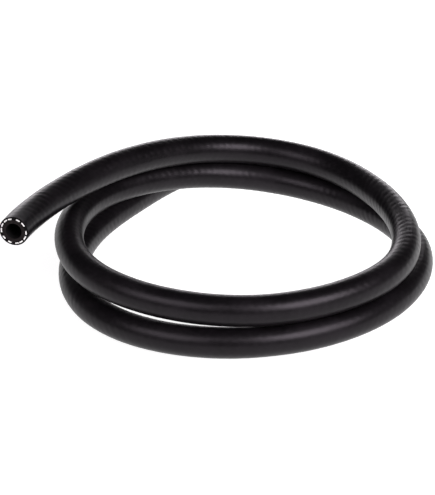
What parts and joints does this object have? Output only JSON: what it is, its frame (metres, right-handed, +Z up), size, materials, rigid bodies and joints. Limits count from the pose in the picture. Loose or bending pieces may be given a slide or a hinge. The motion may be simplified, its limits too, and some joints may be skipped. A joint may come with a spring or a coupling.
{
  "type": "transmission cooler hose",
  "caption": "Reinforced rubber oil hose for a transmission cooler, lying in a loose flat coil with both ends cut square and the bore open.",
  "frame": {"origin": "on the floor, under the middle of the hose's bounding box", "axes": "+Z up, out of the coil's plane; the free end points along -Y and lies at -X, the tail's end lies at +Y"},
  "size_m": [0.2217, 0.2508, 0.0586],
  "materials": {
    "cover_rubber": "satin black rubber cover with fine cross ribs",
    "yarn": "off-white reinforcing yarn, cut ends showing",
    "tube_rubber": "dull black oil-resistant rubber"
  },
  "bodies": {
    "root": {"outer_cover": "cover_rubber", "yarn_reinforcement": "yarn", "inner_tube": "tube_rubber"}
  },
  "joints": []
}
